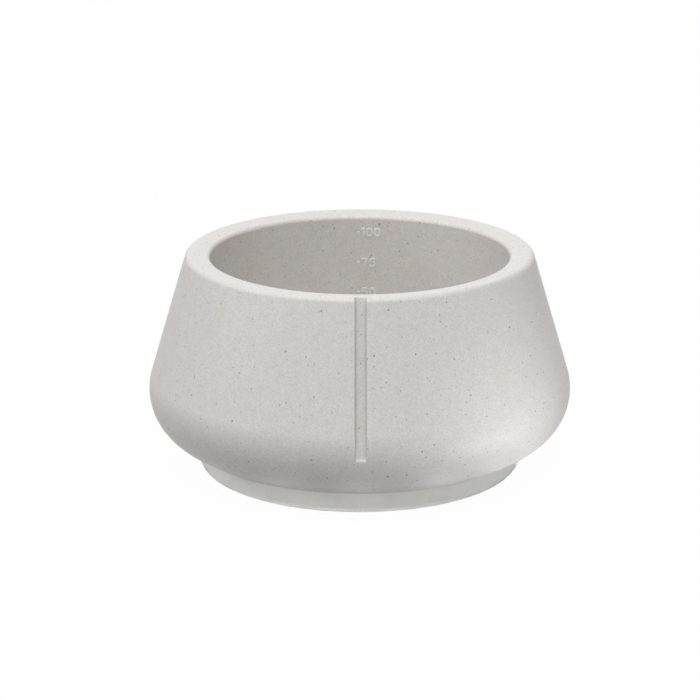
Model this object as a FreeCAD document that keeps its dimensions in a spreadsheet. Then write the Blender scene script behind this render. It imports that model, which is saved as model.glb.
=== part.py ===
"""Hair colour mixing bowl: a thick-walled soft bowl that stands on a clear elastomer base ring.

The bowl is turned about Z. Its wall leans in from a round shoulder to a narrower mouth and tucks under to a foot.
The foot plugs into the base ring, whose bead snaps into a groove round the foot and whose lip lies under it.
A straight groove runs from the rim down the front (-Y), and a raised scale stands on the inside of the back (+Y).
The origin is the centre of the face that the ring stands on, with +Z up. Lengths are in mm, angles in degrees.
"""
import FreeCAD, Part
import os
import Sketcher
from math import asin, cos, degrees, radians, sin, tan

SIZES = {
    # The bowl's outside: a leaning wall, a round shoulder and a sloping underside
    "max_diameter": 140,
    "overall_height": 73,
    "shoulder_rise": 18.8,
    "shoulder_radius": 18.4,
    "wall_lean": 16.5,
    "underside_slope": 30,
    "rim_outer_round": 2,
    "rim_inner_round": 1.2,
    "rim_slope": 6.5,
    # The bowl's inside: a floor raised over the hollow foot, with a round corner up to the wall
    "wall_thickness": 8,
    "floor_height": 18.5,
    "floor_thickness": 8,
    "floor_round": 12,
    # The hollow foot and the base ring that holds it
    "foot_inset": 20,
    "foot_wall": 10,
    "recess_round": 3,
    "ring_height": 8.2,
    "ring_wall": 5.1,
    "ring_flare": 17,
    "ring_edge_round": 4,
    "ring_clearance": 0.1,
    "lip_thickness": 1.6,
    "lip_width": 9.1,
    "bead_radius": 1,
    "bead_height": 5,
    # The groove down the front
    "groove_width": 3.75,
    "groove_depth": 2.4,
    "groove_tail": 3.5,
    "groove_end_round": 1,
    # The raised scale inside the back
    "mark_start": 0.7,
    "mark_drop": 6.8,
    "mark_spacing": 11.65,
    "dash_length": 1,
    "digit_width": 2.4,
    "digit_height": 3.4,
    "digit_gap": 0.35,
    "stroke_width": 0.65,
    "mark_relief": 0.35,
    "mark_root": 0.5,
}
SCALE_NUMBERS = ("100", "75", "50", "25")

# Places that several sketches share, as expressions on the sheet
SHOULDER_X = "(sizes.max_diameter / 2 - sizes.shoulder_radius) * 1 mm"
SHOULDER_Z = "(sizes.ring_height + sizes.shoulder_rise) * 1 mm"
CORNER_X = (
    "(sizes.max_diameter / 2 - sizes.shoulder_radius"
    " + (sizes.shoulder_radius - sizes.wall_thickness - sizes.floor_round) / cos(sizes.wall_lean)"
    " - (sizes.floor_height + sizes.floor_round - sizes.ring_height - sizes.shoulder_rise)"
    " * tan(sizes.wall_lean)) * 1 mm"
)
CORNER_Z = "(sizes.floor_height + sizes.floor_round) * 1 mm"
GROOVE_TOP_X = (
    "(sizes.max_diameter / 2 - sizes.shoulder_radius"
    " + (sizes.shoulder_radius - sizes.groove_depth) / cos(sizes.wall_lean)"
    " - (sizes.overall_height + sizes.groove_depth - sizes.ring_height - sizes.shoulder_rise)"
    " * tan(sizes.wall_lean)) * 1 mm"
)
FOOT_X = "(sizes.max_diameter / 2 - sizes.foot_inset) * 1 mm"
RECESS_X = "(sizes.max_diameter / 2 - sizes.foot_inset - sizes.foot_wall) * 1 mm"
BORE_X = "(sizes.max_diameter / 2 - sizes.foot_inset + sizes.ring_clearance) * 1 mm"
RING_TOP_X = "(sizes.max_diameter / 2 - sizes.foot_inset + sizes.ring_clearance + sizes.ring_wall) * 1 mm"
LIP_BORE_X = "(sizes.max_diameter / 2 - sizes.foot_inset + sizes.ring_clearance - sizes.lip_width) * 1 mm"

# A sketch numbers its horizontal axis -1 and its vertical axis -2, and a curve's start 1, its end 2 and its centre 3
ORIGIN = (-1, 1)


def make_sheet(doc):
    """The spreadsheet with one named cell for each driving size."""
    sheet = doc.addObject("Spreadsheet::Sheet", "sizes")
    for row, (name, value) in enumerate(SIZES.items(), start=1):
        sheet.set(f"A{row}", name)
        sheet.set(f"B{row}", str(value))
        sheet.setAlias(f"B{row}", name)
    doc.recompute()
    return sheet


def make_body(doc, name):
    body = doc.addObject("PartDesign::Body", name)
    body.Label = name
    return body


def make_sketch(body, name, role, offset=FreeCAD.Placement()):
    """A sketch on one of the body's own origin planes."""
    plane = next(item for item in body.Origin.OriginFeatures if item.Role == role)
    sketch = body.newObject("Sketcher::SketchObject", name)
    sketch.AttachmentSupport = [(plane, "")]
    sketch.MapMode = "FlatFace"
    sketch.AttachmentOffset = offset
    return sketch


def point(x, y):
    return FreeCAD.Vector(x, y, 0)


def around(centre, radius, angle):
    """The point at an angle on a circle."""
    return point(centre.x + radius * cos(radians(angle)), centre.y + radius * sin(radians(angle)))


def line(start, end):
    """A line and the numbers of its start and end points."""
    return Part.LineSegment(start, end), (1, 2)


def arc(centre, radius, start, end):
    """An arc from one angle to another, clockwise where the end angle is the smaller one."""
    circle = Part.Circle(centre, FreeCAD.Vector(0, 0, 1), radius)
    curve = Part.ArcOfCircle(circle, radians(min(start, end)), radians(max(start, end)))
    return curve, ((1, 2) if start < end else (2, 1))


def draw_outline(sketch, edges, smooth):
    """Draws named edges as one closed chain, tangent after each edge named in smooth; returns each edge's number."""
    numbers = {name: sketch.addGeometry(curve, False) for name, (curve, ends) in edges.items()}
    names = list(edges)
    for name, following in zip(names, names[1:] + names[:1]):
        kind = "Tangent" if name in smooth else "Coincident"
        end = edges[name][1][1]
        start = edges[following][1][0]
        sketch.addConstraint(Sketcher.Constraint(kind, numbers[name], end, numbers[following], start))
    return numbers


def drive(sketch, kind, places, value, expression):
    """Adds a dimension that follows an expression on the sheet."""
    index = sketch.addConstraint(Sketcher.Constraint(kind, *places, value))
    sketch.setExpression(f"Constraints[{index}]", expression)


def drive_centre(sketch, edge, centre, x_expression, z_expression):
    drive(sketch, "DistanceX", (*ORIGIN, edge, 3), centre.x, x_expression)
    drive(sketch, "DistanceY", (*ORIGIN, edge, 3), centre.y, z_expression)


def revolve(body, name, sketch, kind="PartDesign::Revolution"):
    """A full turn about the sketch's vertical axis, which is the bowl's own axis."""
    feature = body.newObject(kind, name)
    feature.Profile = sketch
    feature.ReferenceAxis = (sketch, ["V_Axis"])
    feature.Angle = 360
    sketch.Visibility = False
    return feature


def shoulder_centre(size):
    return point(size.max_diameter / 2 - size.shoulder_radius, size.ring_height + size.shoulder_rise)


def foot_radius(size):
    return size.max_diameter / 2 - size.foot_inset


def wall_x(size, offset, height):
    """Distance from the axis, at a height, of the line that runs inside the wall's outer line by an offset."""
    centre = shoulder_centre(size)
    lean = radians(size.wall_lean)
    return centre.x + (size.shoulder_radius - offset) / cos(lean) - (height - centre.y) * tan(lean)


def corner_centre(size):
    """The centre of the round corner between the inside wall and the floor."""
    height = size.floor_height + size.floor_round
    return point(wall_x(size, size.wall_thickness + size.floor_round, height), height)


def rim_inner_centre(size, rim_out):
    """The centre of the rim's inner round, under the rim's sloping top and behind the inside wall."""
    slope = radians(size.rim_slope)
    at_zero = wall_x(size, size.wall_thickness - size.rim_inner_round, 0)
    drop = (size.rim_outer_round - size.rim_inner_round) / cos(slope)
    height = rim_out.y + drop - (rim_out.x - at_zero) * tan(slope)
    height /= 1 + tan(radians(size.wall_lean)) * tan(slope)
    return point(wall_x(size, size.wall_thickness - size.rim_inner_round, height), height)


def draw_bowl_section(sketch, size):
    """Half section of the bowl, anticlockwise from the recess's ceiling at the axis."""
    shoulder = shoulder_centre(size)
    corner = corner_centre(size)
    outer = size.shoulder_radius
    lean = size.wall_lean
    slope = size.underside_slope
    foot = foot_radius(size)
    recess = foot - size.foot_wall
    ceiling = size.floor_height - size.floor_thickness
    top = size.overall_height
    recess_turn = point(recess - size.recess_round, ceiling - size.recess_round)
    rim_up = 90 + size.rim_slope
    rim_out_z = top - size.rim_outer_round
    rim_out = point(wall_x(size, size.rim_outer_round, rim_out_z), rim_out_z)
    rim_in = rim_inner_centre(size, rim_out)
    slope_top = around(shoulder, outer, slope - 90)
    seat_edge = point(slope_top.x - (slope_top.y - size.ring_height) / tan(radians(slope)), size.ring_height)
    edges = {
        "ceiling": line(point(0, ceiling), point(recess_turn.x, ceiling)),
        "recess_corner": arc(recess_turn, size.recess_round, 90, 0),
        "recess_wall": line(point(recess, recess_turn.y), point(recess, size.lip_thickness)),
        "sole": line(point(recess, size.lip_thickness), point(foot, size.lip_thickness)),
        "foot": line(point(foot, size.lip_thickness), point(foot, size.ring_height)),
        "seat": line(point(foot, size.ring_height), seat_edge),
        "underside": line(seat_edge, slope_top),
        "shoulder": arc(shoulder, outer, slope - 90, lean),
        "wall": line(around(shoulder, outer, lean), around(rim_out, size.rim_outer_round, lean)),
        "rim_outer": arc(rim_out, size.rim_outer_round, lean, rim_up),
        "rim": line(around(rim_out, size.rim_outer_round, rim_up), around(rim_in, size.rim_inner_round, rim_up)),
        "rim_inner": arc(rim_in, size.rim_inner_round, rim_up, 180 + lean),
        "inner_wall": line(
            around(rim_in, size.rim_inner_round, 180 + lean), around(corner, size.floor_round, lean)
        ),
        "corner": arc(corner, size.floor_round, lean, -90),
        "floor": line(point(corner.x, size.floor_height), point(0, size.floor_height)),
        "axis": line(point(0, size.floor_height), point(0, ceiling)),
    }
    sharp = {"recess_wall", "sole", "foot", "seat", "floor", "axis"}
    edge = draw_outline(sketch, edges, set(edges) - sharp)
    for name in ("ceiling", "sole", "seat", "floor"):
        sketch.addConstraint(Sketcher.Constraint("Horizontal", edge[name]))
    for name in ("recess_wall", "foot"):
        sketch.addConstraint(Sketcher.Constraint("Vertical", edge[name]))
    for end in (1, 2):
        sketch.addConstraint(Sketcher.Constraint("PointOnObject", edge["axis"], end, -2))
    drive_centre(sketch, edge["shoulder"], shoulder, SHOULDER_X, SHOULDER_Z)
    drive(sketch, "Angle", (edge["underside"],), radians(slope), "sizes.underside_slope * 1 deg")
    drive(sketch, "Angle", (edge["wall"],), radians(90 + lean), "(90 + sizes.wall_lean) * 1 deg")
    drive(sketch, "Angle", (edge["rim"],), radians(90 + rim_up), "(180 + sizes.rim_slope) * 1 deg")
    sketch.addConstraint(Sketcher.Constraint("Parallel", edge["inner_wall"], edge["wall"]))
    drive(
        sketch, "Distance", (edge["inner_wall"], 1, edge["wall"]), size.wall_thickness,
        "sizes.wall_thickness * 1 mm",
    )
    for name, value in (
        ("shoulder", "shoulder_radius"),
        ("rim_outer", "rim_outer_round"),
        ("rim_inner", "rim_inner_round"),
        ("corner", "floor_round"),
        ("recess_corner", "recess_round"),
    ):
        drive(sketch, "Radius", (edge[name],), getattr(size, value), f"sizes.{value} * 1 mm")
    drive(sketch, "DistanceX", (*ORIGIN, edge["sole"], 1), recess, RECESS_X)
    drive(sketch, "DistanceX", (*ORIGIN, edge["foot"], 1), foot, FOOT_X)
    drive(sketch, "DistanceY", (*ORIGIN, edge["foot"], 1), size.lip_thickness, "sizes.lip_thickness * 1 mm")
    drive(sketch, "DistanceY", (*ORIGIN, edge["foot"], 2), size.ring_height, "sizes.ring_height * 1 mm")
    drive(
        sketch, "DistanceY", (*ORIGIN, edge["rim_outer"], 3), rim_out_z,
        "(sizes.overall_height - sizes.rim_outer_round) * 1 mm",
    )
    drive(sketch, "DistanceY", (*ORIGIN, edge["axis"], 1), size.floor_height, "sizes.floor_height * 1 mm")
    drive(
        sketch, "DistanceY", (*ORIGIN, edge["axis"], 2), ceiling,
        "(sizes.floor_height - sizes.floor_thickness) * 1 mm",
    )


def draw_wall_strip(sketch, size, centre, near, far, bottom, top):
    """A strip that follows a leaning wall and the arc it ends in, between two arcs about that arc's centre.

    centre is a point with the expressions of its two places. near and far are the arcs' radii and bottom and top
    the strip's end heights, each a value with its expression.
    """
    middle = centre[0]
    lean = size.wall_lean
    near_start = angle_at(middle, near[0], bottom[0])
    far_start = angle_at(middle, far[0], bottom[0])
    near_bend = around(middle, near[0], lean)
    far_bend = around(middle, far[0], lean)
    near_top = point(near_bend.x - (top[0] - near_bend.y) * tan(radians(lean)), top[0])
    far_top = point(far_bend.x - (top[0] - far_bend.y) * tan(radians(lean)), top[0])
    edges = {
        "bottom": line(around(middle, near[0], near_start), around(middle, far[0], far_start)),
        "far_arc": arc(middle, far[0], far_start, lean),
        "far_line": line(far_bend, far_top),
        "top": line(far_top, near_top),
        "near_line": line(near_top, near_bend),
        "near_arc": arc(middle, near[0], lean, near_start),
    }
    edge = draw_outline(sketch, edges, {"far_arc", "near_line"})
    sketch.addConstraint(Sketcher.Constraint("Horizontal", edge["bottom"]))
    sketch.addConstraint(Sketcher.Constraint("Horizontal", edge["top"]))
    sketch.addConstraint(Sketcher.Constraint("Coincident", edge["near_arc"], 3, edge["far_arc"], 3))
    sketch.addConstraint(Sketcher.Constraint("Parallel", edge["near_line"], edge["far_line"]))
    drive_centre(sketch, edge["far_arc"], *centre)
    drive(sketch, "Angle", (edge["far_line"],), radians(90 + lean), "(90 + sizes.wall_lean) * 1 deg")
    drive(sketch, "Radius", (edge["near_arc"],), *near)
    drive(sketch, "Radius", (edge["far_arc"],), *far)
    drive(sketch, "DistanceY", (*ORIGIN, edge["bottom"], 1), *bottom)
    drive(sketch, "DistanceY", (*ORIGIN, edge["top"], 1), *top)


def angle_at(centre, radius, height):
    """The angle at which an arc about a centre reaches a height."""
    return degrees(asin((height - centre.y) / radius))


def draw_circle(sketch, x, z, radius):
    """A circle from three pairs of value and expression."""
    circle = Part.Circle(point(x[0], z[0]), FreeCAD.Vector(0, 0, 1), radius[0])
    edge = sketch.addGeometry(circle, False)
    drive(sketch, "DistanceX", (*ORIGIN, edge, 3), *x)
    drive(sketch, "DistanceY", (*ORIGIN, edge, 3), *z)
    drive(sketch, "Radius", (edge,), *radius)


def cut_bead_seat(body, size):
    """The groove round the foot that the ring's bead snaps into, with the ring's clearance all round."""
    sketch = make_sketch(body, "bead_seat_section", "XZ_Plane")
    bore = foot_radius(size) + size.ring_clearance
    draw_circle(
        sketch,
        (bore, BORE_X),
        (size.bead_height, "sizes.bead_height * 1 mm"),
        (size.bead_radius + size.ring_clearance, "(sizes.bead_radius + sizes.ring_clearance) * 1 mm"),
    )
    return revolve(body, "bead_seat", sketch, "PartDesign::Groove")


def draw_groove_side(sketch, size):
    """The groove seen from the side: its floor follows the wall from above the rim down to a small round at its end."""
    lean = size.wall_lean
    turn = size.groove_end_round
    end = size.ring_height + size.shoulder_rise - size.groove_tail
    top = size.overall_height + size.groove_depth
    clear = size.max_diameter / 2 + size.groove_depth
    top_x = wall_x(size, size.groove_depth, top)
    turn_centre = point(wall_x(size, size.groove_depth - turn, end + turn), end + turn)
    edges = {
        "end": line(point(clear, end), point(turn_centre.x, end)),
        "turn": arc(turn_centre, turn, 270, 180 + lean),
        "floor": line(around(turn_centre, turn, 180 + lean), point(top_x, top)),
        "top": line(point(top_x, top), point(clear, top)),
        "outside": line(point(clear, top), point(clear, end)),
    }
    edge = draw_outline(sketch, edges, {"end", "turn"})
    for name in ("end", "top"):
        sketch.addConstraint(Sketcher.Constraint("Horizontal", edge[name]))
    sketch.addConstraint(Sketcher.Constraint("Vertical", edge["outside"]))
    drive(sketch, "Radius", (edge["turn"],), turn, "sizes.groove_end_round * 1 mm")
    drive(sketch, "Angle", (edge["floor"],), radians(90 + lean), "(90 + sizes.wall_lean) * 1 deg")
    drive(sketch, "DistanceX", (*ORIGIN, edge["floor"], 2), top_x, GROOVE_TOP_X)
    drive(
        sketch, "DistanceX", (*ORIGIN, edge["outside"], 1), clear,
        "(sizes.max_diameter / 2 + sizes.groove_depth) * 1 mm",
    )
    drive(
        sketch, "DistanceY", (*ORIGIN, edge["end"], 1), end,
        "(sizes.ring_height + sizes.shoulder_rise - sizes.groove_tail) * 1 mm",
    )
    drive(
        sketch, "DistanceY", (*ORIGIN, edge["top"], 1), top,
        "(sizes.overall_height + sizes.groove_depth) * 1 mm",
    )


def cut_front_groove(body, size):
    """The straight groove down the front, of one width, open at the rim and run out low on the shoulder."""
    half_turn = FreeCAD.Rotation(FreeCAD.Vector(0, 1, 0), 180)
    sketch = make_sketch(body, "front_groove_section", "YZ_Plane", FreeCAD.Placement(FreeCAD.Vector(), half_turn))
    draw_groove_side(sketch, size)
    pocket = body.newObject("PartDesign::Pocket", "front_groove")
    pocket.Profile = sketch
    pocket.SideType = "Symmetric"
    pocket.Length = size.groove_width
    pocket.setExpression("Length", "sizes.groove_width * 1 mm")
    sketch.Visibility = False
    return pocket


def make_bowl_blank(doc, size):
    """The turned bowl with its bead seat and front groove, still without its scale."""
    body = make_body(doc, "bowl_blank")
    section = make_sketch(body, "bowl_section", "XZ_Plane")
    draw_bowl_section(section, size)
    revolve(body, "bowl_turned", section)
    doc.recompute()
    cut_bead_seat(body, size)
    doc.recompute()
    cut_front_groove(body, size)
    doc.recompute()
    return body


def make_scale_band(doc, size):
    """A thin shell that straddles the inside wall: the scale's relief on its face and its root in the wall."""
    body = make_body(doc, "scale_band")
    sketch = make_sketch(body, "scale_band_section", "XZ_Plane")
    draw_wall_strip(
        sketch,
        size,
        (corner_centre(size), CORNER_X, CORNER_Z),
        (size.floor_round - size.mark_relief, "(sizes.floor_round - sizes.mark_relief) * 1 mm"),
        (size.floor_round + size.mark_root, "(sizes.floor_round + sizes.mark_root) * 1 mm"),
        (size.floor_height + size.floor_round / 8, "(sizes.floor_height + sizes.floor_round / 8) * 1 mm"),
        (size.overall_height - size.rim_inner_round, "(sizes.overall_height - sizes.rim_inner_round) * 1 mm"),
    )
    revolve(body, "scale_band_turned", sketch)
    doc.recompute()
    return body


# Each digit is a list of pen strokes in a unit box: two points are a line, three are an arc through them.
DIGITS = {
    "0": [
        ((0, 0.35), (0, 0.65)),
        ((0, 0.65), (0.5, 1), (1, 0.65)),
        ((1, 0.65), (1, 0.35)),
        ((1, 0.35), (0.5, 0), (0, 0.35)),
    ],
    "1": [((0, 1), (0.42, 1)), ((0.42, 1), (0.42, 0))],
    "2": [((0, 0.7), (0.5, 1), (0.96, 0.62)), ((0.96, 0.62), (0, 0)), ((0, 0), (1, 0))],
    "5": [((0.92, 1), (0.14, 1)), ((0.14, 1), (0.06, 0.55)), ((0.06, 0.55), (1, 0.31), (0, 0.07))],
    "7": [((0, 1), (1, 1)), ((1, 1), (0.35, 0))],
}
NARROW_DIGITS = {"1": 0.42}


def stroke_face(pen_path, place, width):
    """The flat face that a round pen of this width leaves along a path, mapped by place into the XZ plane."""
    edges = []
    for points in pen_path:
        spots = [place(u, v) for u, v in points]
        edges.append((Part.Arc(*spots) if len(spots) == 3 else Part.LineSegment(*spots)).toShape())
    wire = Part.Wire(edges)
    outline = wire.makeOffset2D(width / 2, 0, not wire.isClosed())
    if not wire.isClosed():
        return outline
    return Part.Face(outline).cut(Part.Face(wire.makeOffset2D(-width / 2)))


def scale_digit(digit, left, bottom, size):
    """One digit as a prism along Y that reaches from the bowl's mid-plane to the back."""
    pen = size.stroke_width

    def place(u, v):
        x = left + pen / 2 + u * (size.digit_width - pen)
        z = bottom + pen / 2 + v * (size.digit_height - pen)
        return FreeCAD.Vector(x, 0, z)

    return stroke_face(DIGITS[digit], place, pen).extrude(FreeCAD.Vector(0, size.max_diameter / 2, 0))


def scale_mark(number, height, size):
    """A dash that starts just left of the mid-plane, followed by its number, both centred on a height."""
    corner = FreeCAD.Vector(-size.mark_start, 0, height - size.stroke_width / 2)
    shapes = [Part.makeBox(size.dash_length, size.max_diameter / 2, size.stroke_width, corner)]
    left = size.dash_length + size.digit_gap - size.mark_start
    for digit in number:
        shapes.append(scale_digit(digit, left, height - size.digit_height / 2, size))
        path_width = NARROW_DIGITS.get(digit, 1) * (size.digit_width - size.stroke_width)
        left += path_width + size.stroke_width + size.digit_gap
    return shapes


def make_scale_strokes(doc, size):
    """Every mark of the scale as prisms along Y, before they are trimmed to the band."""
    shapes = []
    for row, number in enumerate(SCALE_NUMBERS):
        height = size.overall_height - size.mark_drop - row * size.mark_spacing
        shapes.extend(scale_mark(number, height, size))
    strokes = doc.addObject("Part::Feature", "scale_strokes")
    strokes.Label = "scale_strokes"
    strokes.Shape = Part.makeCompound(shapes)
    return strokes


def make_bowl_body(doc, size):
    """The whole bowl: the turned blank with the raised scale fused to its inside."""
    blank = make_bowl_blank(doc, size)
    relief = doc.addObject("Part::Common", "scale_relief")
    relief.Base = make_scale_band(doc, size)
    relief.Tool = make_scale_strokes(doc, size)
    bowl = doc.addObject("Part::Fuse", "bowl_body")
    bowl.Base = blank
    bowl.Tool = relief
    bowl.Label = "bowl_body"
    return bowl


def draw_ring_section(sketch, size):
    """Half section of the base ring, anticlockwise from the lip's inner edge on the standing face."""
    bore = foot_radius(size) + size.ring_clearance
    lip_bore = bore - size.lip_width
    rim = bore + size.ring_wall
    flare = radians(size.ring_flare)
    turn = size.ring_edge_round
    turn_x = rim - (size.ring_height - turn) * tan(flare) - turn / cos(flare)
    turn_centre = point(turn_x, turn)
    edges = {
        "sole": line(point(lip_bore, 0), point(turn_x, 0)),
        "edge": arc(turn_centre, turn, -90, -size.ring_flare),
        "flank": line(around(turn_centre, turn, -size.ring_flare), point(rim, size.ring_height)),
        "top": line(point(rim, size.ring_height), point(bore, size.ring_height)),
        "bore": line(point(bore, size.ring_height), point(bore, size.lip_thickness)),
        "lip": line(point(bore, size.lip_thickness), point(lip_bore, size.lip_thickness)),
        "lip_end": line(point(lip_bore, size.lip_thickness), point(lip_bore, 0)),
    }
    edge = draw_outline(sketch, edges, {"sole", "edge"})
    for name in ("sole", "top", "lip"):
        sketch.addConstraint(Sketcher.Constraint("Horizontal", edge[name]))
    for name in ("bore", "lip_end"):
        sketch.addConstraint(Sketcher.Constraint("Vertical", edge[name]))
    sketch.addConstraint(Sketcher.Constraint("PointOnObject", edge["sole"], 1, -1))
    drive(sketch, "Radius", (edge["edge"],), turn, "sizes.ring_edge_round * 1 mm")
    drive(sketch, "Angle", (edge["flank"],), radians(90 - size.ring_flare), "(90 - sizes.ring_flare) * 1 deg")
    drive(sketch, "DistanceX", (*ORIGIN, edge["sole"], 1), lip_bore, LIP_BORE_X)
    drive(sketch, "DistanceX", (*ORIGIN, edge["top"], 1), rim, RING_TOP_X)
    drive(sketch, "DistanceY", (*ORIGIN, edge["top"], 1), size.ring_height, "sizes.ring_height * 1 mm")
    drive(sketch, "DistanceX", (*ORIGIN, edge["bore"], 1), bore, BORE_X)
    drive(sketch, "DistanceY", (*ORIGIN, edge["lip"], 1), size.lip_thickness, "sizes.lip_thickness * 1 mm")


def make_base_ring(doc, size):
    """The clear non-slip ring: a flared flank, a lip under the foot and a bead round the bore."""
    body = make_body(doc, "base_ring")
    section = make_sketch(body, "ring_section", "XZ_Plane")
    draw_ring_section(section, size)
    revolve(body, "ring_turned", section)
    doc.recompute()
    bead = make_sketch(body, "bead_section", "XZ_Plane")
    bore = foot_radius(size) + size.ring_clearance
    draw_circle(
        bead,
        (bore, BORE_X),
        (size.bead_height, "sizes.bead_height * 1 mm"),
        (size.bead_radius, "sizes.bead_radius * 1 mm"),
    )
    revolve(body, "bead_turned", bead)
    doc.recompute()
    return body


class Sizes:
    """The sheet's values, read by name."""

    def __init__(self, sheet):
        self.sheet = sheet

    def __getattr__(self, name):
        return float(self.sheet.get(name))


def check(doc, parts):
    """Stops before anything is written if an object failed or a part is not one sound solid."""
    for item in doc.Objects:
        if {"Invalid", "Error"} & set(item.State):
            raise RuntimeError(f"{item.Label} failed: {item.State}")
    for part in parts:
        shape = part.Shape
        if shape.isNull() or not shape.isValid() or len(shape.Solids) != 1:
            raise RuntimeError(f"{part.Label} is not one sound solid")


def main():
    doc = FreeCAD.newDocument("hair_color_bowl")
    size = Sizes(make_sheet(doc))
    parts = [make_bowl_body(doc, size), make_base_ring(doc, size)]
    doc.recompute()
    check(doc, parts)
    os.makedirs("parts", exist_ok=True)
    for part in parts:
        part.Shape.exportStep(f"parts/{part.Label}.step")
        print(part.Label, "volume", round(part.Shape.Volume), "box", part.Shape.BoundBox)


main()
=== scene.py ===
"""Hair color bowl: looks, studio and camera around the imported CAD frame.

Lengths in mm are turned into metres by MM.
"""

import math

import bmesh
import bpy
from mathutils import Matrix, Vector


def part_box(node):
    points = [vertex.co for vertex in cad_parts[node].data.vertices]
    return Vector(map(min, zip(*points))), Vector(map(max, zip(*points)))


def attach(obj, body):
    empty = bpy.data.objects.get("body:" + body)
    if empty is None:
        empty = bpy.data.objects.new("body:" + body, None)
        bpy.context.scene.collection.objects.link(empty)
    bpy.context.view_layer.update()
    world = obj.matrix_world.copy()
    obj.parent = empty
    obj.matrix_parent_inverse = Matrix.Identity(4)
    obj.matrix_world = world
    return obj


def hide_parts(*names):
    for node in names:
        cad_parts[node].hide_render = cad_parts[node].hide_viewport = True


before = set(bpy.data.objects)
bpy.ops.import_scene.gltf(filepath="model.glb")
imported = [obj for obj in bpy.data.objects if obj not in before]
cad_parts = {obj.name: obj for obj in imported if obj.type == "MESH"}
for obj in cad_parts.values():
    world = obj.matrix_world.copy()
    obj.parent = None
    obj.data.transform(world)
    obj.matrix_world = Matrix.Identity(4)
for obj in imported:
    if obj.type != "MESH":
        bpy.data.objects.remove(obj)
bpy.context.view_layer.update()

MM = 0.001
BODY_LOW, BODY_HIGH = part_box("bowl_body")
RING_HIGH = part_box("base_ring")[1]

# Sizes of the bowl's section: its outermost ones come from the frame, and the others are as in the CAD
LEAN = math.radians(16.5)
UNDERSIDE_SLOPE = math.radians(30)
MAX_RADIUS = BODY_HIGH[0]
TOP = BODY_HIGH[2]
SEAT_HEIGHT = RING_HIGH[2]
SHOULDER_RADIUS = 18.4 * MM
SHOULDER_RISE = 18.8 * MM
SHOULDER_HEIGHT = SEAT_HEIGHT + SHOULDER_RISE
WALL = 8 * MM
FLOOR_HEIGHT = 18.5 * MM
FLOOR_ROUND = 12 * MM
RIM_OUTER_ROUND = 2 * MM
RIM_INNER_ROUND = 1.2 * MM
RIM_SLOPE = math.radians(6.5)
FOOT_RADIUS = 50 * MM
RECESS_RADIUS = 40 * MM
RECESS_HEIGHT = 10.5 * MM
RECESS_ROUND = 3 * MM
EDGE_ROUND = 0.35 * MM

# Sizes of the base ring's section
RING_RADIUS = RING_HIGH[0]
RING_FLARE = math.radians(17)
RING_EDGE_ROUND = 4 * MM
RING_SOFT_ROUND = 0.2 * MM
RING_BORE = 50.1 * MM
LIP_RADIUS = 41 * MM
LIP_HEIGHT = BODY_LOW[2]
RING_COLUMNS = 360

# The straight groove down the front, which is open at the rim and runs out low on the shoulder
GROOVE_WIDTH = 3.75 * MM
GROOVE_DEPTH = 2.4 * MM
GROOVE_TAIL = 3.5 * MM
GROOVE_END = SHOULDER_HEIGHT - GROOVE_TAIL
GROOVE_END_ROUND = 1 * MM
GROOVE_ROUND = 0.8 * MM
GROOVE_DRAFT = 0.1 * MM
GROOVE_EDGE_ROUND = 0.22 * MM
GROOVE_TOP_ROUND = 0.6 * MM
# The easing where the groove meets the shoulder, and the least gap between the groove and the foot
GROOVE_RUN_OUT = 0.15 * MM
GROOVE_FOOT_GAP = 1 * MM

# Spacing of the mesh: of the points round a fillet, and in mm of the columns beside the groove
FILLET_STEPS = 8
FILLET_LEAST_STEPS = 4
FILLET_FINEST = 0.12 * MM
FILLET_COARSEST = 0.35 * MM
GROOVE_TOP_STEP = 0.05 * MM
COLUMNS_BESIDE_GROOVE = (0.2, 0.5, 0.9, 1.5, 2.3, 3.3, 4.5, 6)
# Columns keep one distance from the mid-plane up to the first angle and from the second radius on
STRAIGHT_ANGLES = (math.radians(9), math.radians(25))
STRAIGHT_RADII = (30 * MM, 48 * MM)
# A point of the section that is nearer to a line than this lies on it, and no length divided by is shorter
ON_LINE = 1e-7
SHORTEST = 1e-9

# The raised scale inside the back
SCALE_NUMBERS = ("100", "75", "50", "25")
MARK_START = -0.7 * MM
MARK_DROP = 6.8 * MM
MARK_SPACING = 11.65 * MM
DASH_LENGTH = 1 * MM
DIGIT_WIDTH = 2.4 * MM
DIGIT_HEIGHT = 3.4 * MM
DIGIT_GAP = 0.35 * MM
STROKE_WIDTH = 0.65 * MM
MARK_RELIEF = 0.33 * MM

# A stroke's cross-section: shares of half its width, and the lifts there as shares of its relief
STROKE_ROOT = 0.35
STROKE_ACROSS = (-1, -0.92, -0.7, -0.36, 0, 0.36, 0.7, 0.92, 1)
STROKE_LIFTS = (-STROKE_ROOT, 0.45, 0.9, 1, 1, 1, 0.9, 0.45, -STROKE_ROOT)
STROKE_END_ANGLES = tuple(math.radians(angle) for angle in (90, 72, 54, 36, 18))
ARC_STEPS = 18
LINE_STEPS = 6
# Each digit's strokes in its own box, from 0 to 1 across and up: two points are a line and three an arc
DIGITS = {
    "0": [
        ((0, 0.35), (0, 0.65)),
        ((0, 0.65), (0.5, 1), (1, 0.65)),
        ((1, 0.65), (1, 0.35)),
        ((1, 0.35), (0.5, 0), (0, 0.35)),
    ],
    "1": [((0, 1), (0.42, 1)), ((0.42, 1), (0.42, 0))],
    "2": [((0, 0.7), (0.5, 1), (0.96, 0.62)), ((0.96, 0.62), (0, 0)), ((0, 0), (1, 0))],
    "5": [((0.92, 1), (0.14, 1)), ((0.14, 1), (0.06, 0.55)), ((0.06, 0.55), (1, 0.31), (0, 0.07))],
    "7": [((0, 1), (1, 1)), ((1, 1), (0.35, 0))],
}
NARROW_DIGITS = {"1": 0.42}

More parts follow.
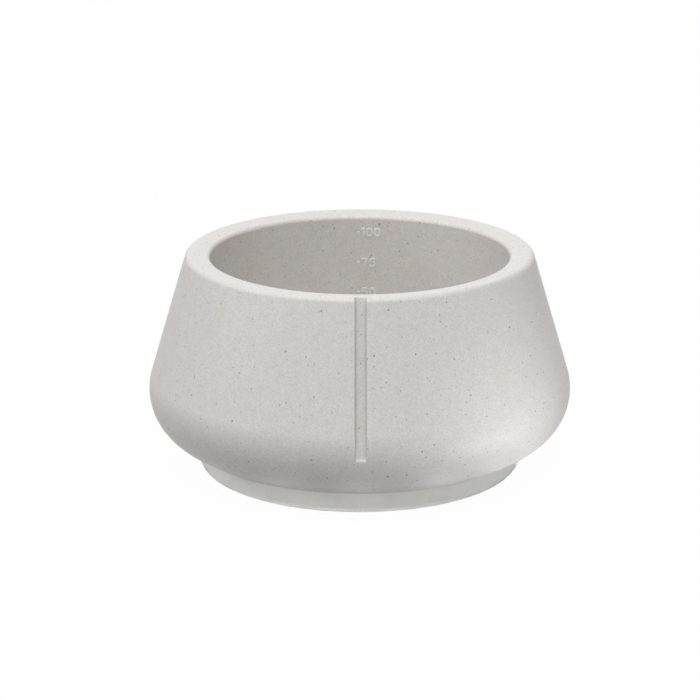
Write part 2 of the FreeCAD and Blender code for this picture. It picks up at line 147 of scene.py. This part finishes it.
# The stone's colours: its base, the pale painted highlight of the raised marks, and the painted shade on the
# groove's floor
STONE_BASE = (0.796, 0.775, 0.757)
MARK_PAINTED_HIGHLIGHT = (0.95, 0.95, 0.94)
MARK_HIGHLIGHT_SHARE = 0.85
GROOVE_PAINTED_SHADE_TINT = (0.06, 0.055, 0.05)
GROOVE_PAINTED_SHADE_STRENGTH = 0.08
BOWL_SCATTER = 0.2
# Dark and light tint of each size of grain, which turns tan where it is darker
MIDDLE_TINTS = ((0.98, 0.975, 0.97), (1.015, 1.02, 1.025))
FINE_TINTS = ((0.935, 0.912, 0.89), (1.055, 1.072, 1.09))
FINEST_TINTS = ((0.928, 0.905, 0.88), (1.06, 1.078, 1.095))
# Cell size, radius, share of cells with a speck, strength, tint and shift of each sort of speck
SPECKS = (
    (1.4 * MM, 0.24 * MM, 0.6, 0.3, (0.5, 0.34, 0.25), (0, 0, 0)),
    (1.3 * MM, 0.2 * MM, 0.55, 0.4, (0.3, 0.27, 0.25), (0.37, 0.11, 0.73)),
    (2.1 * MM, 0.3 * MM, 0.55, 0.9, (0.12, 0.1, 0.09), (0.91, 0.57, 0.29)),
    (5.5 * MM, 0.42 * MM, 0.6, 0.95, (0.1, 0.08, 0.07), (0.23, 0.83, 0.51)),
)
# The share of a speck's radius that is its solid core, and the strength of the faintest speck
SPECK_CORE = 0.45
SPECK_FAINTEST = 0.35
CLEAR_COLOUR = (0.995, 1, 0.99)
CLEAR_STREAK = (0.86, 0.89, 0.865)

# The studio: the floor as a camera sees it and as it lights the bowl, and the light from all round
FLOOR_WHITE = 0.975
FLOOR_COLOUR = (0.25, 0.25, 0.25)
FLOOR_HALF = 4.0
WORLD_LIGHT = 0.02
# Name, place, target, width, height and power of each softbox and of each low card beside the bowl
SOFTBOXES = (
    ("top", (0, 0, 1.5), (0, 0, 0), 1.5, 1.5, 10.7),
    ("top_front", (0, -1.0, 1.3), (0, 0, 0.03), 1.2, 1.0, 10.8),
    ("front", (-0.3, -1.6, 0.3), (0, 0, 0.03), 1.0, 0.4, 2.8),
    ("back", (0.3, 1.5, 0.5), (0, 0, 0.03), 1.2, 0.7, 6),
    ("left", (-1.3, -0.2, 0.8), (0, 0, 0.03), 0.9, 0.9, 6.2),
    ("right", (1.3, 0.25, 0.6), (0, 0, 0.03), 0.9, 0.9, 1.3),
    ("card_near", (0.043, -0.117, 0.002), (0.042, -0.115, 0.2), 0.06, 0.06, 0.007),
    ("card_right", (0.096, -0.08, 0.002), (0.094, -0.078, 0.2), 0.06, 0.06, 0.047),
)
# The light behind the bowl lies at the camera's mirror angle, so it is kept out of reflections in the rim
NO_GLARE = "back"
# Angle from the front and power of each small card beside the foot, which points up and a little inward
FOOT_CARDS = (
    (-72, 0.00015),
    (-48, 0.0002),
    (-24, 0.00028),
    (0, 0.00032),
    (24, 0.0005),
    (48, 0.0007),
    (72, 0.0008),
)
FOOT_CARD_RADIUS = 0.068
FOOT_CARD_HEIGHT = 0.0015
FOOT_CARD_SIZE = 0.014
FOOT_CARD_INWARD = 0.99
FOOT_CARD_TARGET_HEIGHT = 0.2

# The camera, fitted to the photo's outline
CAMERA_DISTANCE = 0.9954
CAMERA_ELEVATION = math.radians(17.01)
CAMERA_ASIDE = math.radians(0.3)
CAMERA_SENSOR = 36
CAMERA_LENS = 153.85
CAMERA_SHIFT = (-0.0139, 0.0101)


def smoothstep(low, high, value):
    t = min(1.0, max(0.0, (value - low) / (high - low)))
    return t * t * (3 - 2 * t)


def outer_radius(height):
    """Radius of the outer wall's straight line, carried on past its ends, at a height."""
    centre = MAX_RADIUS - SHOULDER_RADIUS
    return centre + SHOULDER_RADIUS / math.cos(LEAN) - (height - SHOULDER_HEIGHT) * math.tan(LEAN)


def inner_radius(height):
    return outer_radius(height) - WALL / math.cos(LEAN)


def underside_corner():
    """Where the outer wall's line meets the underside's line."""
    centre = MAX_RADIUS - SHOULDER_RADIUS
    line_radius = centre + SHOULDER_RADIUS * math.sin(UNDERSIDE_SLOPE)
    line_height = SHOULDER_HEIGHT - SHOULDER_RADIUS * math.cos(UNDERSIDE_SLOPE)
    rise = math.tan(UNDERSIDE_SLOPE)
    height = (outer_radius(0) - line_radius + line_height / rise) / (1 / rise + math.tan(LEAN))
    return outer_radius(height), height


def rim_height(radius):
    """Height of the rim's top, which slopes down from its outer round towards the mouth."""
    centre_height = TOP - RIM_OUTER_ROUND
    centre_radius = outer_radius(centre_height) - RIM_OUTER_ROUND / math.cos(LEAN)
    crest_height = centre_height + RIM_OUTER_ROUND / math.cos(RIM_SLOPE)
    return crest_height - (centre_radius - radius) * math.tan(RIM_SLOPE)


def rim_corner(inset):
    """Where the rim's top meets the line that lies this far inside the outer wall's line, square to it."""
    at_zero = outer_radius(0) - inset / math.cos(LEAN)
    height = rim_height(at_zero) / (1 + math.tan(LEAN) * math.tan(RIM_SLOPE))
    return at_zero - height * math.tan(LEAN), height


def groove_floor(height):
    """Radius of the groove's straight floor, which turns out to its end with a small round."""
    radius = outer_radius(height) - GROOVE_DEPTH / math.cos(LEAN)
    over = GROOVE_END + GROOVE_END_ROUND - height
    if over <= 0:
        return radius
    if over >= GROOVE_END_ROUND:
        return outer_radius(height)
    return radius + GROOVE_END_ROUND - math.sqrt(GROOVE_END_ROUND**2 - over**2)


def fillet(before, corner, after, radius, step):
    """Points along the round of this radius at a corner of a section."""
    before, corner, after = (Vector(p) for p in (before, corner, after))
    back = (before - corner).normalized()
    ahead = (after - corner).normalized()
    half = back.angle(ahead) / 2
    centre = corner + (back + ahead).normalized() * (radius / math.sin(half))
    start = corner + back * (radius / math.tan(half)) - centre
    turn = start.angle_signed(corner + ahead * (radius / math.tan(half)) - centre)
    count = max(FILLET_LEAST_STEPS, math.ceil(abs(turn) * radius / step))
    points = []
    for i in range(count + 1):
        angle = -turn * i / count
        x = start.x * math.cos(angle) - start.y * math.sin(angle)
        y = start.x * math.sin(angle) + start.y * math.cos(angle)
        points.append((centre.x + x, centre.y + y))
    return points


def section(corners, closed):
    """Points along a section given as (radius, height, round, step) corners.

    The step is the spacing of the points on the straight stretch up to that corner.
    """
    rounded = []
    count = len(corners)
    for i, (radius, height, turn, _) in enumerate(corners):
        if turn == 0:
            rounded.append([(radius, height)])
            continue
        before = corners[i - 1][:2]
        after = corners[(i + 1) % count][:2]
        spacing = max(FILLET_FINEST, min(FILLET_COARSEST, turn / FILLET_STEPS))
        rounded.append(fillet(before, (radius, height), after, turn, spacing))
    points = list(rounded[0])
    following = list(range(1, count)) + ([0] if closed else [])
    for i in following:
        start = points[-1]
        end = rounded[i][0]
        length = math.dist(start, end)
        steps = max(1, math.ceil(length / corners[i][3]))
        for k in range(1, steps):
            t = k / steps
            points.append((start[0] + (end[0] - start[0]) * t, start[1] + (end[1] - start[1]) * t))
        points.extend(rounded[i] if i else [end])
    if closed:
        points.pop()
    return points


def new_object(name, vertices, faces, material, smooth=True):
    mesh = bpy.data.meshes.new(name)
    mesh.from_pydata(vertices, [], faces)
    mesh.polygons.foreach_set("use_smooth", [smooth] * len(mesh.polygons))
    mesh.materials.append(material)
    edit = bmesh.new()
    edit.from_mesh(mesh)
    bmesh.ops.recalc_face_normals(edit, faces=edit.faces)
    edit.to_mesh(mesh)
    edit.free()
    mesh.update()
    made = bpy.data.objects.new(name, mesh)
    bpy.context.scene.collection.objects.link(made)
    return made


def groove_section():
    """Half the groove's cross-section as pairs: distance from the mid-plane, and share of the full depth."""
    side = GROOVE_WIDTH / 2
    edge = GROOVE_EDGE_ROUND
    turn = GROOVE_ROUND
    floor = side - GROOVE_DRAFT - turn
    floor_steps = 3
    turn_steps = 6
    edge_steps = 4
    side_share = 0.33
    pairs = [(floor * i / floor_steps, 1) for i in range(floor_steps)]
    for i in range(turn_steps + 1):
        angle = math.pi / 2 * i / turn_steps
        depth = GROOVE_DEPTH - turn + turn * math.cos(angle)
        pairs.append((floor + turn * math.sin(angle), depth / GROOVE_DEPTH))
    pairs.append((side - GROOVE_DRAFT / 2, side_share))
    for i in range(edge_steps + 1):
        angle = math.pi / 2 * (1 - i / edge_steps)
        pairs.append((side + edge - edge * math.sin(angle), (edge - edge * math.cos(angle)) / GROOVE_DEPTH))
    return pairs


def column_angles():
    """Every column's angle from the front and share of the groove's depth, and the radius where they hold."""
    reference = (outer_radius(TOP) + MAX_RADIUS) / 2
    near = groove_section()
    last = near[-1][0]
    near.extend((last + distance * MM, 0) for distance in COLUMNS_BESIDE_GROOVE)
    right = [(math.asin(x / reference), share) for x, share in near]
    left = [(2 * math.pi - angle, share) for angle, share in reversed(right[1:])]
    first = right[-1][0]
    rest = 2 * math.pi - 2 * first
    count = round(math.degrees(rest))
    between = [(first + rest * i / count, 0) for i in range(1, count)]
    return right + between + left, reference


def smooth_min(a, b, width):
    """The smaller of two lengths, eased over this width where they cross."""
    t = min(1.0, max(0.0, 0.5 + 0.5 * (b - a) / width))
    return b * (1 - t) + a * t - width * t * (1 - t)


def groove_top(points, first, last):
    """Where these rows of the rim go at the groove's middle: over a small round, then down its floor."""
    start = points[first]
    end = points[last][1]
    foot = (groove_floor(end), end)
    turn = fillet(start, rim_corner(GROOVE_DEPTH), foot, GROOVE_TOP_ROUND, GROOVE_TOP_STEP)
    path = [start, *turn, foot]
    lengths = [0]
    for a, b in zip(path, path[1:]):
        lengths.append(lengths[-1] + math.dist(a, b))
    spots = []
    for i in range(last - first + 1):
        wanted = lengths[-1] * i / (last - first)
        k = next((k for k in range(1, len(path)) if lengths[k] >= wanted), len(path) - 1)
        t = min((wanted - lengths[k - 1]) / max(lengths[k] - lengths[k - 1], SHORTEST), 1)
        (ax, ay), (bx, by) = path[k - 1], path[k]
        spots.append((ax + (bx - ax) * t, ay + (by - ay) * t))
    return spots


def straightened(angle, radius, reference):
    """The column's angle at this radius: the columns near the front keep one distance from the mid-plane."""
    signed = angle if angle < math.pi else angle - 2 * math.pi
    keep = 1 - smoothstep(*STRAIGHT_ANGLES, abs(signed))
    keep *= smoothstep(*STRAIGHT_RADII, radius)
    if keep > 0:
        signed += keep * (math.asin(reference * math.sin(signed) / max(radius, STRAIGHT_RADII[1])) - signed)
    return signed


def bowl_corners():
    """Corners of the bowl's section, from the inside floor over the rim to the hollow under the foot."""
    corner_radius, corner_height = underside_corner()
    seat_radius = corner_radius - (corner_height - SEAT_HEIGHT) / math.tan(UNDERSIDE_SLOPE)
    return [
        (0, FLOOR_HEIGHT, 0, 0),
        (inner_radius(FLOOR_HEIGHT), FLOOR_HEIGHT, FLOOR_ROUND, 2 * MM),
        (*rim_corner(WALL), RIM_INNER_ROUND, 1 * MM),
        (*rim_corner(0), RIM_OUTER_ROUND, 0.6 * MM),
        (corner_radius, corner_height, SHOULDER_RADIUS, 0.5 * MM),
        (seat_radius, SEAT_HEIGHT, EDGE_ROUND, 0.5 * MM),
        (FOOT_RADIUS, SEAT_HEIGHT, EDGE_ROUND, 1 * MM),
        (FOOT_RADIUS, LIP_HEIGHT, EDGE_ROUND, 1 * MM),
        (RECESS_RADIUS, LIP_HEIGHT, EDGE_ROUND, 1 * MM),
        (RECESS_RADIUS, RECESS_HEIGHT, RECESS_ROUND, 1 * MM),
        (0, RECESS_HEIGHT, 0, 2 * MM),
    ]


def make_bowl(material):
    """The turned bowl as one mesh, with its soft-edged groove."""
    points = section(bowl_corners(), closed=False)
    on_rim = [i for i, point in enumerate(points) if abs(point[1] - rim_height(point[0])) < ON_LINE]
    on_wall = [i for i, point in enumerate(points) if abs(point[0] - outer_radius(point[1])) < ON_LINE]
    groove_reach = rim_corner(GROOVE_DEPTH)[0] - GROOVE_TOP_ROUND
    first = max(i for i in on_rim if points[i][0] < groove_reach)
    last = next(i for i in on_wall if i >= on_rim[-1])
    groove_rows = dict(zip(range(first, last + 1), groove_top(points, first, last)))
    columns, reference = column_angles()
    count = len(columns)
    vertices = [(0, 0, points[0][1])]
    for row, (radius, height) in enumerate(points[1:-1], start=1):
        below = row > last and radius > FOOT_RADIUS + GROOVE_FOOT_GAP
        for angle, share in columns:
            out, up = radius, height
            if share and row in groove_rows:
                out += (groove_rows[row][0] - out) * share
                up += (groove_rows[row][1] - up) * share
            elif share and below:
                line = outer_radius(height) - (outer_radius(height) - groove_floor(height)) * share
                # The easing narrows to nothing at the groove's edge
                out = smooth_min(radius, line, GROOVE_RUN_OUT * min(1, 4 * share))
            turned = straightened(angle, radius, reference)
            vertices.append((out * math.sin(turned), -out * math.cos(turned), up))
    vertices.append((0, 0, points[-1][1]))
    faces = []
    rows = len(points) - 2
    for column in range(count):
        following = (column + 1) % count
        faces.append((0, 1 + column, 1 + following))
        for row in range(rows - 1):
            a = 1 + row * count
            b = a + count
            faces.append((a + column, b + column, b + following, a + following))
        end = 1 + (rows - 1) * count
        faces.append((end + column, len(vertices) - 1, end + following))
    return new_object("bowl_shell", vertices, faces, material)


def make_ring(material):
    """The base ring turned from its own section."""
    bottom_radius = RING_RADIUS - SEAT_HEIGHT * math.tan(RING_FLARE)
    corners = [
        (LIP_RADIUS, 0, RING_SOFT_ROUND, 1 * MM),
        (bottom_radius, 0, RING_EDGE_ROUND, 1.5 * MM),
        (RING_RADIUS, SEAT_HEIGHT, RING_SOFT_ROUND, 0.5 * MM),
        (RING_BORE, SEAT_HEIGHT, RING_SOFT_ROUND, 1 * MM),
        (RING_BORE, LIP_HEIGHT, RING_SOFT_ROUND, 1 * MM),
        (LIP_RADIUS, LIP_HEIGHT, RING_SOFT_ROUND, 1.5 * MM),
    ]
    points = section(corners, closed=True)
    vertices = []
    for radius, height in points:
        for i in range(RING_COLUMNS):
            angle = 2 * math.pi * i / RING_COLUMNS
            vertices.append((radius * math.cos(angle), radius * math.sin(angle), height))
    faces = []
    for row in range(len(points)):
        a = row * RING_COLUMNS
        b = (row + 1) % len(points) * RING_COLUMNS
        for i in range(RING_COLUMNS):
            j = (i + 1) % RING_COLUMNS
            faces.append((a + i, a + j, b + j, b + i))
    return new_object("clear_ring", vertices, faces, material)


def line_between(start, end):
    """Points along the straight line between two points of a plane."""
    (ax, ay), (bx, by) = start, end
    return [(ax + (bx - ax) * i / LINE_STEPS, ay + (by - ay) * i / LINE_STEPS) for i in range(LINE_STEPS + 1)]


def arc_through(start, middle, end):
    """Points along the arc through three points of a plane."""
    (ax, ay), (bx, by), (cx, cy) = start, middle, end
    # The arc's centre x, y from the squares of the points' distances to the origin
    d = 2 * (ax * (by - cy) + bx * (cy - ay) + cx * (ay - by))
    a2, b2, c2 = ax * ax + ay * ay, bx * bx + by * by, cx * cx + cy * cy
    x = (a2 * (by - cy) + b2 * (cy - ay) + c2 * (ay - by)) / d
    y = (a2 * (cx - bx) + b2 * (ax - cx) + c2 * (bx - ax)) / d
    radius = math.hypot(ax - x, ay - y)
    first = math.atan2(ay - y, ax - x)
    mid = (math.atan2(by - y, bx - x) - first) % (2 * math.pi)
    turn = (math.atan2(cy - y, cx - x) - first) % (2 * math.pi)
    if mid > turn:
        turn -= 2 * math.pi
    angles = [first + turn * i / ARC_STEPS for i in range(ARC_STEPS + 1)]
    return [(x + radius * math.cos(angle), y + radius * math.sin(angle)) for angle in angles]


def on_inner_wall(x, height, lift):
    """The point inside the back wall at this x and height, lifted square off it into the bowl."""
    corner_height = FLOOR_HEIGHT + FLOOR_ROUND
    corner_radius = inner_radius(corner_height) - FLOOR_ROUND / math.cos(LEAN)
    if height > corner_height + FLOOR_ROUND * math.sin(LEAN):
        radius = inner_radius(height)
        normal = (-math.cos(LEAN), -math.sin(LEAN))
    else:
        down = (height - corner_height) / FLOOR_ROUND
        across = math.sqrt(1 - down * down)
        radius = corner_radius + FLOOR_ROUND * across
        normal = (-across, -down)
    y = math.sqrt(radius * radius - x * x)
    inward = Vector((x / radius * normal[0], y / radius * normal[0], normal[1]))
    return Vector((x, y, height)) + inward * lift


def stroke_stations(path):
    """Places, directions and widths along a pen stroke that ends in half circles."""
    half = STROKE_WIDTH / 2
    stations = []
    ends = [math.sin(angle) for angle in STROKE_END_ANGLES]
    first = (Vector(path[1]) - Vector(path[0])).normalized()
    last = (Vector(path[-1]) - Vector(path[-2])).normalized()
    for out in ends:
        stations.append((Vector(path[0]) - first * half * out, first, math.sqrt(1 - out * out)))
    for i, place in enumerate(path):
        a = Vector(path[max(0, i - 1)])
        b = Vector(path[min(len(path) - 1, i + 1)])
        stations.append((Vector(place), (b - a).normalized(), 1))
    for out in reversed(ends):
        stations.append((Vector(path[-1]) + last * half * out, last, math.sqrt(1 - out * out)))
    return stations


def add_stroke(path, vertices, faces):
    """A raised stroke with a rounded top that is rooted just under the wall's face."""
    start = len(vertices)
    stations = stroke_stations(path)
    for place, along, width in stations:
        side = Vector((-along.y, along.x)) * (STROKE_WIDTH / 2)
        for share, lift in zip(STROKE_ACROSS, STROKE_LIFTS):
            spot = place + side * (share * width)
            relief = MARK_RELIEF * ((lift + STROKE_ROOT) * math.sqrt(width) - STROKE_ROOT)
            vertices.append(on_inner_wall(spot.x, spot.y, relief))
    n = len(STROKE_ACROSS)
    for i in range(len(stations) - 1):
        for k in range(n - 1):
            a = start + i * n + k
            faces.append((a, a + 1, a + n + 1, a + n))


def make_scale(material):
    """Every dash and number of the scale as raised strokes inside the back wall."""
    vertices = []
    faces = []
    pen = STROKE_WIDTH
    for row, number in enumerate(SCALE_NUMBERS):
        height = TOP - MARK_DROP - row * MARK_SPACING
        dash = [(MARK_START + x, height) for x in (pen / 2, DASH_LENGTH / 2, DASH_LENGTH - pen / 2)]
        add_stroke(dash, vertices, faces)
        left = MARK_START + DASH_LENGTH + DIGIT_GAP
        for digit in number:
            for points in DIGITS[digit]:
                spots = []
                for u, v in points:
                    x = left + pen / 2 + u * (DIGIT_WIDTH - pen)
                    spots.append((x, height - DIGIT_HEIGHT / 2 + pen / 2 + v * (DIGIT_HEIGHT - pen)))
                draw = arc_through if len(spots) == 3 else line_between
                add_stroke(draw(*spots), vertices, faces)
            path_width = NARROW_DIGITS.get(digit, 1) * (DIGIT_WIDTH - pen)
            left += path_width + pen + DIGIT_GAP
    return new_object("scale_numbers", vertices, faces, material)


class Nodes:
    """Short calls that add and link shader nodes."""

    def __init__(self, material):
        material.use_nodes = True
        self.tree = material.node_tree
        self.tree.nodes.clear()

    def add(self, kind, values=None, **settings):
        node = self.tree.nodes.new(kind)
        for name, value in settings.items():
            setattr(node, name, value)
        for name, value in (values or {}).items():
            if isinstance(value, bpy.types.NodeSocket):
                self.tree.links.new(value, node.inputs[name])
            else:
                node.inputs[name].default_value = value
        return node

    def math(self, operation, a, b):
        return self.add("ShaderNodeMath", {0: a, 1: b}, operation=operation).outputs[0]

    def noise(self, where, scale, detail, roughness):
        values = {"Vector": where, "Scale": scale, "Detail": detail, "Roughness": roughness}
        return self.add("ShaderNodeTexNoise", values).outputs["Fac"]

    def remap(self, value, low, high, to_low, to_high):
        values = {"Value": value, "From Min": low, "From Max": high, "To Min": to_low, "To Max": to_high}
        return self.add("ShaderNodeMapRange", values, clamp=True).outputs["Result"]

    def bump(self, height, strength, distance, normal=None):
        values = {"Strength": strength, "Distance": distance, "Height": height}
        if normal is not None:
            values["Normal"] = normal
        return self.add("ShaderNodeBump", values).outputs["Normal"]

    def mix(self, factor, a, b, blend="MIX"):
        """A mix of two colours, which are inputs 6 and 7 of the node; output 2 is the mixed colour."""
        node = self.add("ShaderNodeMix", {0: factor}, data_type="RGBA", blend_type=blend)
        for index, value in ((6, a), (7, b)):
            if isinstance(value, bpy.types.NodeSocket):
                self.tree.links.new(value, node.inputs[index])
            else:
                node.inputs[index].default_value = (*value, 1)
        return node.outputs[2]

    def specks(self, where, cell, radius, share):
        """1 inside small round specks of up to this radius; share is how many of the cells hold one."""
        texture = self.add("ShaderNodeTexVoronoi", {"Vector": where, "Scale": 1 / cell, "Randomness": 1.0})
        distance = texture.outputs["Distance"]
        pick = self.add("ShaderNodeSeparateColor", {"Color": texture.outputs["Color"]})
        dot = self.remap(distance, radius / cell * SPECK_CORE, radius / cell, 1, 0)
        chosen = self.math("LESS_THAN", pick.outputs[0], share)
        strength = self.remap(pick.outputs[1], 0, 1, SPECK_FAINTEST, 1)
        return self.math("MULTIPLY", self.math("MULTIPLY", dot, chosen), strength)


def groove_painted_shade_share(n, where):
    """1 on the floor of the front groove, where shade is painted into the moulding's colour, and 0 elsewhere.
    """
    place = n.add("ShaderNodeSeparateXYZ", {"Vector": where})
    height = place.outputs["Z"]
    wall = n.math("SUBTRACT", outer_radius(0), n.math("MULTIPLY", height, math.tan(LEAN)))
    depth = n.math("MULTIPLY", n.math("ADD", wall, place.outputs["Y"]), math.cos(LEAN))
    aside = n.math("ABSOLUTE", place.outputs["X"], 0)
    margin = 0.1 * MM
    # The painted shade comes in from near the groove's mouth to near its floor, and upwards from its end
    share = n.remap(depth, 0.3 * MM, 1.8 * MM, 0, 1)
    for inside in (
        n.remap(depth, GROOVE_DEPTH + margin, GROOVE_DEPTH + 2 * margin, 1, 0),
        n.math("LESS_THAN", aside, GROOVE_WIDTH / 2 + margin),
        n.remap(height, GROOVE_END + 0.3 * MM, GROOVE_END + 1.5 * MM, 0, 1),
    ):
        share = n.math("MULTIPLY", share, inside)
    return share


def stone_material(name, lift, scatter):
    """Soft mineral-filled moulding: pale warm grey with fine grain, dark and tan specks and a dry matte face.

    The lift is the share of a painted highlight that makes the raised marks paler, and scatter is the weight
    of the light inside it.
    """
    material = bpy.data.materials.new(name)
    n = Nodes(material)
    where = n.add("ShaderNodeTexCoord").outputs["Object"]
    # Scale, detail and roughness of each noise
    broad = n.noise(where, 28, 3, 0.55)
    middle = n.noise(where, 260, 3, 0.6)
    fine = n.noise(where, 1500, 2, 0.7)
    finest = n.noise(where, 3400, 1, 0.5)
    warm = tuple(channel * tint for channel, tint in zip(STONE_BASE, (1.004, 0.998, 0.99)))
    cool = tuple(channel * tint for channel, tint in zip(STONE_BASE, (0.996, 1.002, 1.008)))
    colour = n.mix(n.remap(broad, 0.3, 0.7, 0, 1), warm, cool)
    for noise, (dark, light) in ((middle, MIDDLE_TINTS), (fine, FINE_TINTS), (finest, FINEST_TINTS)):
        grain = n.mix(n.remap(noise, 0.3, 0.7, 0, 1), dark, light)
        colour = n.mix(1.0, colour, grain, "MULTIPLY")
    for cell, radius, share, strength, tint, shift in SPECKS:
        moved = n.add("ShaderNodeVectorMath", {0: where, 1: shift}).outputs[0]
        speck = n.specks(moved, cell, radius, share)
        colour = n.mix(n.math("MULTIPLY", speck, strength), colour, tint)
    # Painted shade: the groove's floor is darkened a little towards near-black, for the shade its walls cast
    # there
    colour = n.mix(n.math("MULTIPLY", groove_painted_shade_share(n, where), GROOVE_PAINTED_SHADE_STRENGTH), colour, GROOVE_PAINTED_SHADE_TINT)
    # Painted highlight: the raised marks' copy is mixed towards a pale colour for the light their tops catch
    if lift:
        colour = n.mix(lift, colour, MARK_PAINTED_HIGHLIGHT)
    rough = n.remap(middle, 0.25, 0.75, 0.4, 0.54)
    rough = n.math("ADD", rough, n.remap(broad, 0.35, 0.65, -0.05, 0.05))
    swell = n.bump(middle, 0.12, 0.4 * MM, n.bump(fine, 0.22, 0.05 * MM))
    values = {
        "Base Color": colour,
        "Roughness": rough,
        "Normal": swell,
        "IOR": 1.48,
        "Subsurface Weight": scatter,
        "Subsurface Radius": (1.0, 0.55, 0.35),
        "Subsurface Scale": 1.2 * MM,
    }
    shader = n.add("ShaderNodeBsdfPrincipled", values)
    n.add("ShaderNodeOutputMaterial", {"Surface": shader.outputs[0]})
    return material


def clear_material():
    """Frosted clear elastomer: hazy and slightly green-grey, with faint upright flow streaks."""
    material = bpy.data.materials.new("frosted_clear")
    n = Nodes(material)
    where = n.add("ShaderNodeTexCoord").outputs["Object"]
    upright = n.add("ShaderNodeMapping", {"Vector": where, "Scale": (1, 1, 0.04)}).outputs[0]
    streaks = n.noise(upright, 330, 3, 0.65)
    haze = n.noise(where, 60, 3, 0.55)
    grain = n.noise(where, 2600, 2, 0.5)
    tone = n.remap(streaks, 0.45, 0.75, 0, 1)
    colour = n.mix(tone, CLEAR_COLOUR, CLEAR_STREAK)
    rough = n.remap(haze, 0.3, 0.7, 0.4, 0.5)
    ripple = n.bump(streaks, 0.25, 0.25 * MM, n.bump(grain, 0.15, 0.05 * MM))
    values = {
        "Base Color": colour,
        "Roughness": rough,
        "Normal": ripple,
        "IOR": 1.42,
        "Transmission Weight": 0.97,
        "Subsurface Weight": 1.0,
        "Subsurface Radius": (1.0, 1.0, 1.0),
        "Subsurface Scale": 3 * MM,
    }
    shader = n.add("ShaderNodeBsdfPrincipled", values)
    n.add("ShaderNodeOutputMaterial", {"Surface": shader.outputs[0]})
    return material


def seen_directly(n):
    """1 for rays that see the background straight, in a reflection or through something clear."""
    path = n.add("ShaderNodeLightPath")
    seen = n.math("MAXIMUM", path.outputs["Is Camera Ray"], path.outputs["Is Glossy Ray"])
    return n.math("MAXIMUM", seen, path.outputs["Is Transmission Ray"])


def make_floor():
    """A pale floor that keeps the bowl's soft shadow and runs out to the white backdrop."""
    material = bpy.data.materials.new("studio_floor")
    n = Nodes(material)
    seen = seen_directly(n)
    plain = n.add("ShaderNodeBsdfDiffuse", {"Color": n.mix(seen, FLOOR_COLOUR, (1, 1, 1))})
    white = n.add("ShaderNodeEmission", {"Color": (1, 1, 1, 1), "Strength": 1.0})
    share = n.math("MULTIPLY", seen, FLOOR_WHITE)
    mix = n.add("ShaderNodeMixShader", {0: share, 1: plain.outputs[0], 2: white.outputs[0]})
    n.add("ShaderNodeOutputMaterial", {"Surface": mix.outputs[0]})
    corners = [(x * FLOOR_HALF, y * FLOOR_HALF, 0) for x, y in ((-1, -1), (1, -1), (1, 1), (-1, 1))]
    return new_object("studio_floor", corners, [(0, 1, 2, 3)], material, smooth=False)


def make_world():
    """A little light from all round, and plain white wherever the world is seen."""
    world = bpy.data.worlds.new("studio")
    bpy.context.scene.world = world
    n = Nodes(world)
    light = n.add("ShaderNodeBackground", {"Color": (1, 1, 1, 1), "Strength": WORLD_LIGHT})
    white = n.add("ShaderNodeBackground", {"Color": (1, 1, 1, 1), "Strength": 1.0})
    mix = n.add("ShaderNodeMixShader", {0: seen_directly(n), 1: light.outputs[0], 2: white.outputs[0]})
    n.add("ShaderNodeOutputWorld", {"Surface": mix.outputs[0]})


def make_softbox(name, place, target, width, height, power):
    data = bpy.data.lights.new(name, "AREA")
    data.shape = "RECTANGLE"
    data.size = width
    data.size_y = height
    data.energy = power
    lamp = bpy.data.objects.new(name, data)
    lamp.location = place
    lamp.rotation_euler = (Vector(target) - Vector(place)).to_track_quat("-Z", "Y").to_euler()
    lamp.visible_camera = False
    lamp.visible_glossy = name != NO_GLARE
    bpy.context.scene.collection.objects.link(lamp)


def make_camera():
    """The camera looks down at the bowl's middle, from a little to the left of the groove's plane."""
    data = bpy.data.cameras.new("camera")
    data.sensor_width = CAMERA_SENSOR
    data.lens = CAMERA_LENS
    data.shift_x, data.shift_y = CAMERA_SHIFT
    camera = bpy.data.objects.new("camera", data)
    middle = TOP / 2
    flat = CAMERA_DISTANCE * math.cos(CAMERA_ELEVATION)
    high = middle + CAMERA_DISTANCE * math.sin(CAMERA_ELEVATION)
    place = Vector((-flat * math.sin(CAMERA_ASIDE), -flat * math.cos(CAMERA_ASIDE), high))
    camera.location = place
    camera.rotation_euler = (Vector((0, 0, middle)) - place).to_track_quat("-Z", "Y").to_euler()
    bpy.context.scene.collection.objects.link(camera)
    bpy.context.scene.camera = camera


stone = stone_material("speckled_stone", 0, BOWL_SCATTER)
# The raised marks get a lit copy of the stone, paler by a painted highlight and without scatter
stone_marks = stone_material("speckled_stone_painted_highlight", MARK_HIGHLIGHT_SHARE, 0)
clear = clear_material()

bowl = make_bowl(stone)
scale = make_scale(stone_marks)
ring = make_ring(clear)
for piece, node, finish in (
    (bowl, "bowl_body", "speckled_soft_stone"),
    (scale, "bowl_body", "speckled_soft_stone"),
    (ring, "base_ring", "frosted_clear_elastomer"),
):
    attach(piece, "root")
    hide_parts(node)

floor = make_floor()
make_world()
for name, place, target, width, height, power in SOFTBOXES:
    make_softbox(name, place, target, width, height, power)
for azimuth, power in FOOT_CARDS:
    x = FOOT_CARD_RADIUS * math.sin(math.radians(azimuth))
    y = -FOOT_CARD_RADIUS * math.cos(math.radians(azimuth))
    target = (x * FOOT_CARD_INWARD, y * FOOT_CARD_INWARD, FOOT_CARD_TARGET_HEIGHT)
    make_softbox("card_foot", (x, y, FOOT_CARD_HEIGHT), target, FOOT_CARD_SIZE, FOOT_CARD_SIZE, power)

make_camera()
bpy.context.scene.view_settings.view_transform = "Standard"
